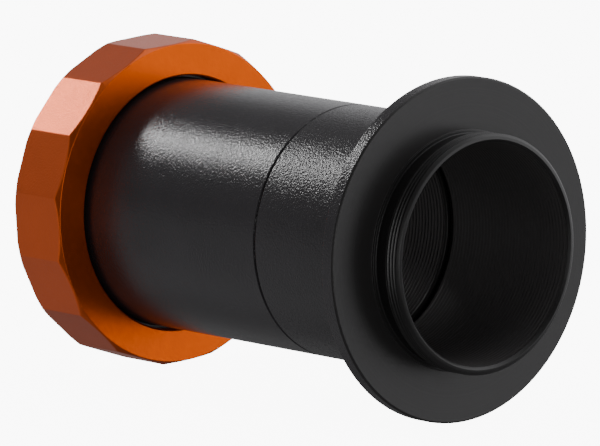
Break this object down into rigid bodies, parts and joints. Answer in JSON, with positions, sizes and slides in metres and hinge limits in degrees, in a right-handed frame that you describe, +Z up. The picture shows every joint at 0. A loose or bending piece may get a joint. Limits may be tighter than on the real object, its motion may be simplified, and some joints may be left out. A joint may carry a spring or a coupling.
{
  "type": "telescope camera t-adapter",
  "caption": "Camera T-adapter for a Schmidt-Cassegrain telescope: black ridged tube with a T-thread nose and a captive faceted orange coupling ring.",
  "frame": {"origin": "on the optical axis, half-way between the coupling ring's rear face and the tip of the T-thread nose", "axes": "+X along the optical axis from the telescope towards the camera, +Z up as the adapter lies on its side"},
  "size_m": [0.092, 0.0604, 0.0604],
  "materials": {
    "black_blasted": "black anodised over bead blasting, fine bright grain",
    "black_turned": "black anodised over fine turning, satin",
    "orange_anodised": "orange anodised over fine bead blasting, satin"
  },
  "bodies": {
    "barrel": {"barrel": "black_blasted"},
    "front_section": {"front_section": "black_blasted"},
    "coupling_ring": {"coupling_ring": "orange_anodised"}
  },
  "joints": [
    {"name": "ring_spin", "type": "hinge", "parent": "barrel", "child": "coupling_ring", "pos_m": [-0.03993, 0, 0], "axis": [1, 0, 0], "continuous": true},
    {"name": "front_section_unscrew", "type": "slide", "parent": "barrel", "child": "front_section", "axis": [1, 0, 0], "range_m": [0, 0.003]}
  ]
}
